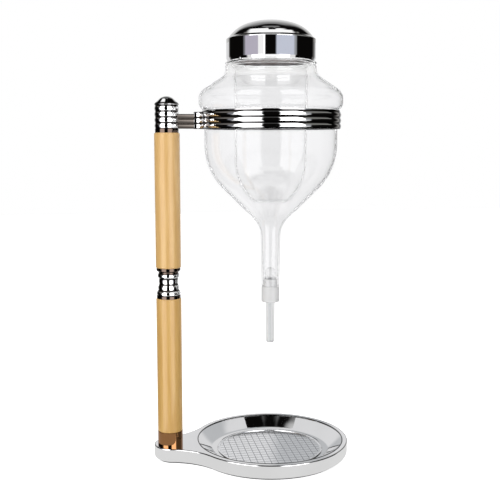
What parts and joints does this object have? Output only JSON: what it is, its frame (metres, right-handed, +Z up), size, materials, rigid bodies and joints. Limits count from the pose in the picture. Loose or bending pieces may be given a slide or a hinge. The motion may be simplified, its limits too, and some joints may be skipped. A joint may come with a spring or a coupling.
{
  "type": "siphon coffee maker",
  "caption": "Coffee brewer on a stand: a wooden post carries a ribbed ring with a hanging glass chamber, inner flask, lid and drip valve over a dished base.",
  "frame": {"origin": "on the axis of the glass, in the plane that the rubber pad stands on", "axes": "+Z up along the axis of the glass, the post stands at -X, +Y towards the back"},
  "size_m": [0.2008, 0.1608, 0.4422],
  "materials": {
    "pad_rubber": "matt black rubber",
    "base_plate": "bright satin plating on the outside, mirror polish in the dish",
    "grate_steel": "satin steel with fine dark grooves",
    "ferrule_chrome": "mirror plating with a warm tone",
    "grip_wood": "straight-grained pale wood under clear lacquer",
    "post_chrome": "mirror chrome",
    "rod_steel": "plain zinc-plated rod",
    "fastener_steel": "plain zinc plating",
    "ring_chrome": "mirror chrome",
    "seal_silicone": "clear silicone",
    "chamber_glass": "clear borosilicate glass",
    "flask_glass": "clear borosilicate glass",
    "lid_chrome": "mirror chrome",
    "liner_brown": "dark brown moulded plastic",
    "stopper_silicone": "translucent silicone",
    "tube_glass": "thick-walled clear glass",
    "ball_glass": "polished clear glass"
  },
  "bodies": {
    "stand": {"base_pad": "pad_rubber", "base_casting": "base_plate", "base_ferrule": "ferrule_chrome", "lower_grip": "grip_wood", "middle_joint": "post_chrome", "upper_grip": "grip_wood", "head_collar": "post_chrome", "head_cap": "post_chrome", "lower_rod": "rod_steel", "upper_rod": "rod_steel", "base_nut": "fastener_steel", "base_washer": "fastener_steel", "spring_washer": "fastener_steel", "arm_ring": "ring_chrome", "ring_seal": "seal_silicone"},
    "grate": {"drip_grate": "grate_steel"},
    "chamber": {"brew_chamber": "chamber_glass"},
    "flask": {"inner_flask": "flask_glass", "flask_seal": "seal_silicone"},
    "lid": {"lid_shell": "lid_chrome", "lid_liner": "liner_brown", "lid_seal": "seal_silicone"},
    "stopper": {"drip_stopper": "stopper_silicone"},
    "tube": {"drip_tube": "tube_glass"},
    "ball": {"valve_ball": "ball_glass"}
  },
  "joints": [
    {"name": "grate_lift", "type": "slide", "parent": "stand", "child": "grate", "axis": [0, 0, 1], "range_m": [0, 0.04]},
    {"name": "chamber_lift", "type": "slide", "parent": "stand", "child": "chamber", "axis": [0, 0, 1], "range_m": [0, 0.245]},
    {"name": "flask_lift", "type": "slide", "parent": "chamber", "child": "flask", "axis": [0, 0, 1], "range_m": [0, 0.145]},
    {"name": "lid_lift", "type": "slide", "parent": "flask", "child": "lid", "axis": [0, 0, 1], "range_m": [0, 0.05]},
    {"name": "stopper_pull", "type": "slide", "parent": "chamber", "child": "stopper", "axis": [0, 0, -1], "range_m": [0, 0.03]},
    {"name": "tube_push", "type": "slide", "parent": "stopper", "child": "tube", "axis": [0, 0, 1], "range_m": [0, 0.01]},
    {"name": "ball_lift", "type": "slide", "parent": "tube", "child": "ball", "axis": [0, 0, 1], "range_m": [0, 0.008]}
  ]
}
